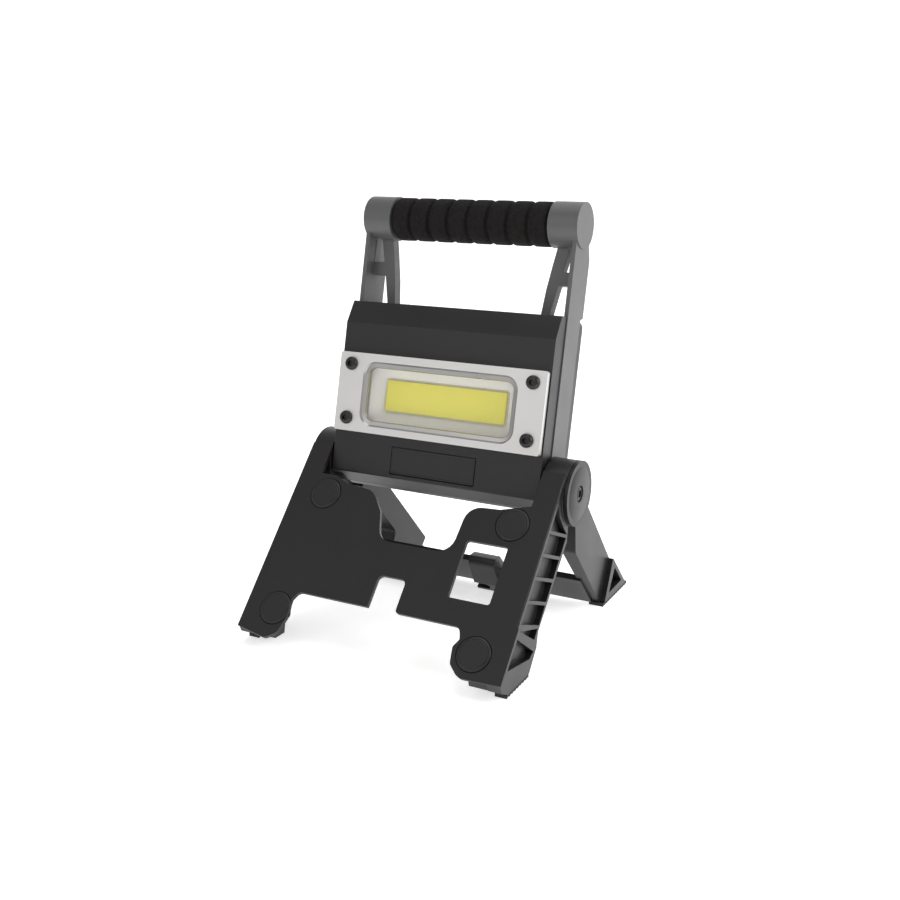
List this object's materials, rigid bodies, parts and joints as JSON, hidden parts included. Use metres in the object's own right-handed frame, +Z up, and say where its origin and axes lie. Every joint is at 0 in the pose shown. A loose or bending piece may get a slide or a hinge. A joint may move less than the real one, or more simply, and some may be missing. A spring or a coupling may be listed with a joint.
{
  "type": "folding work light",
  "caption": "Rechargeable inspection lamp: a tilting LED head with a foam-gripped carrying handle on a hinged A-frame stand with magnets and a fold-out hanging hook.",
  "frame": {"origin": "on the floor, under the middle of the whole light as it stands", "axes": "+X to the light's left-hand side as it faces you (the right of the picture), -Y towards the front that the lamp shines to, +Z up"},
  "size_m": [0.1637, 0.1852, 0.2378],
  "materials": {
    "black_plastic": "fine moulded grain, semi-matt",
    "magnet_face": "fine grain disc over the magnet",
    "grey_plastic": "fine moulded grain, satin",
    "satin_aluminium": "satin, bright bevels",
    "black_steel": "black oxide",
    "bright_steel": "plain drawn",
    "clear_lens": "clear polished plastic",
    "white_plastic": "satin white",
    "led_phosphor": "yellow phosphor layer under silicone",
    "cell_wrap": null,
    "circuit_board": "solder mask",
    "grip_foam": "open-textured foam",
    "black_rubber": "matt"
  },
  "bodies": {
    "front_stand": {"front_stand": "black_plastic", "magnet_upper_left": "magnet_face", "magnet_upper_right": "magnet_face", "magnet_lower_left": "magnet_face", "magnet_lower_right": "magnet_face", "front_pad_left": "black_rubber", "front_pad_right": "black_rubber", "hub_bolt_left": "black_steel", "hub_bolt_right": "black_steel"},
    "rear_stand": {"rear_stand": "black_plastic", "rear_pad_left": "black_rubber", "rear_pad_right": "black_rubber", "hook_pin": "bright_steel"},
    "head": {"head_housing": "black_plastic", "back_cover": "black_plastic", "face_plate": "satin_aluminium", "face_screw_1": "black_steel", "face_screw_2": "black_steel", "face_screw_3": "black_steel", "face_screw_4": "black_steel", "window_lens": "clear_lens", "reflector_tray": "white_plastic", "led_board": "white_plastic", "led_emitter": "led_phosphor", "heat_sink": "satin_aluminium", "battery_cell_1": "cell_wrap", "battery_cell_2": "cell_wrap", "driver_board": "circuit_board", "usb_socket": "bright_steel", "handle_arm_right": "grey_plastic", "handle_arm_left": "grey_plastic", "grip_tube": "bright_steel", "foam_grip": "grip_foam"},
    "power_button": {"power_button": "black_rubber"},
    "port_cover": {"port_cover": "black_plastic"},
    "hanging_hook": {"hanging_hook": "black_plastic"}
  },
  "joints": [
    {"name": "stand_fold", "type": "hinge", "parent": "front_stand", "child": "rear_stand", "pos_m": [-0.0014, 0.0037, 0.0846], "axis": [1, 0, 0], "range_deg": [-20, 0]},
    {"name": "head_tilt", "type": "hinge", "parent": "front_stand", "child": "head", "pos_m": [-0.0014, 0.0037, 0.0846], "axis": [1, 0, 0], "range_deg": [-30, 50]},
    {"name": "button_press", "type": "slide", "parent": "head", "child": "power_button", "axis": [0, -0.9726, 0.2326], "range_m": [0, 0.0012], "stiffness_N_per_m": 1500, "springref_m": -0.0005},
    {"name": "port_cover_hinge", "type": "hinge", "parent": "head", "child": "port_cover", "pos_m": [-0.0014, -0.01233, 0.08638], "axis": [1, 0, 0], "range_deg": [0, 90]},
    {"name": "hook_hinge", "type": "hinge", "parent": "rear_stand", "child": "hanging_hook", "pos_m": [0.0138, 0.03344, 0.01891], "axis": [1, 0, 0], "range_deg": [-120, 0]}
  ]
}
